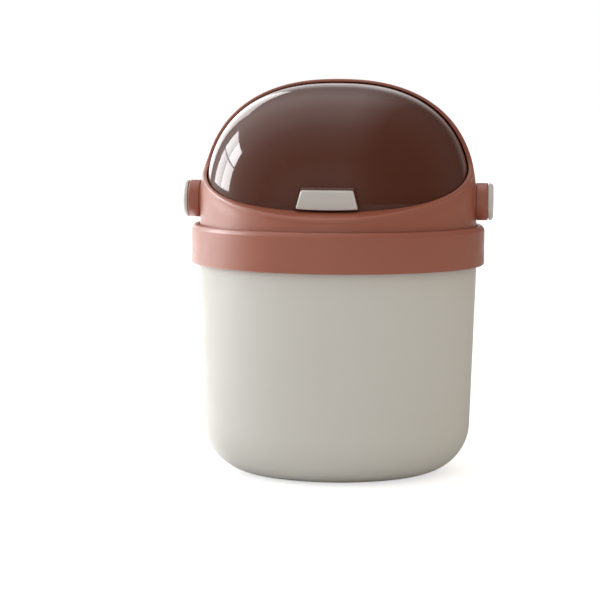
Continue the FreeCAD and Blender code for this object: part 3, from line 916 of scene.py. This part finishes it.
def lay_plate(bm, front, back, bow, top_more=0):
    """A plate on the flap's curve. Its front and back each have a rise and a wider outline."""
    front_verts = bmesh.ops.create_grid(bm, x_segments=plate_columns, y_segments=plate_rows,
                                        size=1)["verts"]
    made = bmesh.ops.extrude_face_region(bm, geom=bm.faces[:])["geom"]
    back_verts = [item for item in made if isinstance(item, bmesh.types.BMVert)]
    for verts, (rise, grow) in ((front_verts, front), (back_verts, back)):
        for vert in verts:
            across, climb = vert.co.x, (vert.co.y + 1) / 2
            low = tab_low - bow * (1 - across ** 2)
            up = low + (tab_high + grow + top_more - low) * climb
            half = (tab_low_width + (tab_high_width - tab_low_width) * climb) / 2 + grow
            vert.co = pivot + on_flap(across * half, up, rise) * mm
    bmesh.ops.recalc_face_normals(bm, faces=bm.faces[:])


def front_edges(bm, rise, sharpness):
    """The sharp edges that stand further out from the flap than a rise."""
    return [edge for edge in bm.edges if edge.calc_face_angle() > math.radians(sharpness)
            and beyond(edge, flap_top + rise)]


print("tab from", tab_low, "to", tab_high, "mm over the pivot")

# %% Plinth on the flap
plinth_front, plinth_back = (plinth_rise, 0.25), (-0.9, 0.92)
plinth_more, plinth_slope = 0.6, 0.75
strip_start, strip_rise, strip_sharpness = 0.5, -0.2, 50
bm = bmesh.new()
lay_plate(bm, plinth_front, plinth_back, 0, top_more=plinth_more)
top_line = pivot.z + (tab_high + strip_start) * mm
top_edges = [edge for edge in front_edges(bm, strip_rise, strip_sharpness)
             if all(vert.co.z > top_line for vert in edge.verts)]
soften(bm, top_edges, plinth_slope * mm, segments=1)
print("plinth edges sloped:", len(top_edges))
keep_piece(bm, "tab_plinth", "flap", [], smoked)

# %% Tab
corner_round, edge_soft, corner_sharpness, level_share = 0.8, 0.75, 60, 0.8
bm = bmesh.new()
lay_plate(bm, (tab_rise, 0), (tab_seat, 0), tab_bow)
corners = [edge for edge in bm.edges if edge.calc_face_angle() > math.radians(corner_sharpness)
           and abs((edge.verts[0].co - edge.verts[1].co).normalized().y) > level_share]
soften(bm, corners, corner_round * mm, segments=4)
rim_rise = (tab_rise + tab_seat) / 2 - 0.2
rims = front_edges(bm, rim_rise, corner_sharpness)
soften(bm, rims, edge_soft * mm, segments=4)
print("tab corners", len(corners), "edges", len(rims))

stud_side, stud_radius, stud_start = 8 * mm, 1.6 * mm, -55.9 * mm
stud_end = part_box("flap_tab")[1].y
stud_height = pivot.z + (tab_low + tab_high) / 2 * mm
for side in (1, -1):
    middle = Vector((side * stud_side, (stud_start + stud_end) / 2, stud_height))
    bmesh.ops.create_cone(bm, cap_ends=True, segments=32, radius1=stud_radius, radius2=stud_radius,
                          depth=stud_end - stud_start,
                          matrix=Matrix.Translation(middle) @ Matrix.Rotation(math.pi / 2, 4, "X"))
keep_piece(bm, "finger_tab", "flap", ["flap_tab"], trim_white)

# %% [markdown]
# ## Knobs and caps
# Each knob is a short turned button with soft edges. A narrow groove parts it from the pale cap on
# its end. They could be one piece with two finishes, but the real cap is pressed in, so it is a
# piece of its own. The left pair mirrors the right, so the same sections are spun with their
# lengths turned round.

# %% Knobs and caps
knob_start, knob_end = [corner.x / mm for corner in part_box("right_pivot_knob")]
cap_start, cap_end = [corner.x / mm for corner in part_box("right_knob_cap")]
knob_radius, plug_hole, plug_radius = 8.55, 4.2, 4.15
groove_radius, cap_radius, cap_round = 7.4, 8.4, 1.5
plug_depth, groove_width = 1.1, 0.4
cap_seat = knob_end - plug_depth
cap_lip = knob_end + groove_width
knob_section = [(axle_hole, knob_start, 0), (knob_radius, knob_start, 0.2),
                (knob_radius, knob_end, 0.6), (plug_hole, knob_end, 0),
                (plug_hole, cap_seat, 0), (axle_hole, cap_seat, 0)]
cap_section = [(0, cap_start, 0), (plug_radius, cap_start, 0),
               (plug_radius, knob_end, 0), (groove_radius, knob_end, 0),
               (groove_radius, cap_lip, 0), (cap_radius, cap_lip, 0.2),
               (cap_radius, cap_end, cap_round), (0, cap_end, 0)]
for hand, side in (("right", 1), ("left", -1)):
    bm = spin_section(mirrored(knob_section, side), on_pivot, (1, 0, 0), steps=128, closed=True)
    keep_piece(bm, hand + "_knob", "flap", [hand + "_pivot_knob"], terracotta)
    bm = spin_section(mirrored(cap_section, side), on_pivot, (1, 0, 0), steps=128)
    keep_piece(bm, hand + "_cap", "flap", [hand + "_knob_cap"], trim_white)

# %% [markdown]
# ## Hidden hardware
# The axles, screws, sleeves, washers, push nuts and soft stops keep their exact solids. They could
# be modelled again, but they show only when the flap is open, so they need finishes rather than
# new shapes: bright plated steel with fine turning lines, milky nylon and dull rubber.

# %% Hardware finishes
line_scale, line_relief = 400, 0.3


def hardware_finish(name, plain, other, rough, metal, stretch):
    """A finish with fine lines or specks in its colour, its gloss and its height."""
    finish, tree = new_finish(name)
    place = add_node(tree, "ShaderNodeTexCoord")
    lines = add_node(tree, "ShaderNodeMapping", {"Vector": (place, "Object"), "Scale": stretch})
    noise = add_node(tree, "ShaderNodeTexNoise",
                     {"Vector": (lines, "Vector"), "Scale": line_scale, "Detail": 3})
    tint = mix_colours(tree, (noise, "Fac"), (*plain, 1), (*other, 1))
    gloss = add_node(tree, "ShaderNodeMapRange",
                     {"Value": (noise, "Fac"), "To Min": rough[0], "To Max": rough[1]})
    relief = add_node(tree, "ShaderNodeBump",
                      {"Height": (noise, "Fac"), "Strength": line_relief, "Distance": grain_height})
    skin = add_node(tree, "ShaderNodeBsdfPrincipled",
                    {"Base Color": (tint, mixed_colour), "Roughness": (gloss, "Result"),
                     "Normal": (relief, "Normal"), "Metallic": metal})
    add_node(tree, "ShaderNodeOutputMaterial", {"Surface": (skin, "BSDF")})
    print(name, "nodes:", len(tree.nodes))
    return finish


plated_steel = hardware_finish("plated_steel", plain=(0.66, 0.66, 0.67), other=(0.55, 0.56, 0.58),
                               rough=(0.18, 0.38), metal=1.0, stretch=(12, 1, 1))
milky_nylon = hardware_finish("milky_nylon", plain=(0.80, 0.79, 0.74), other=(0.72, 0.71, 0.65),
                              rough=(0.35, 0.55), metal=0.0, stretch=(1, 1, 1))
dull_rubber = hardware_finish("dull_rubber", plain=(0.055, 0.050, 0.047),
                              other=(0.075, 0.070, 0.066), rough=(0.7, 0.9), metal=0.0,
                              stretch=(3, 3, 3))

# %% Hardware
hardware = {"stop_pads": dull_rubber, "tab_push_nuts": plated_steel}
for hand in ("left", "right"):
    hardware[hand + "_pivot_bush"] = milky_nylon
    hardware[hand + "_thrust_washer"] = milky_nylon
    hardware[hand + "_pivot_pin"] = plated_steel
    hardware[hand + "_pivot_screw"] = plated_steel
for node_name, finish in hardware.items():
    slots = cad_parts[node_name].data.materials
    slots.clear()
    slots.append(finish)
print("hardware finished:", len(hardware))
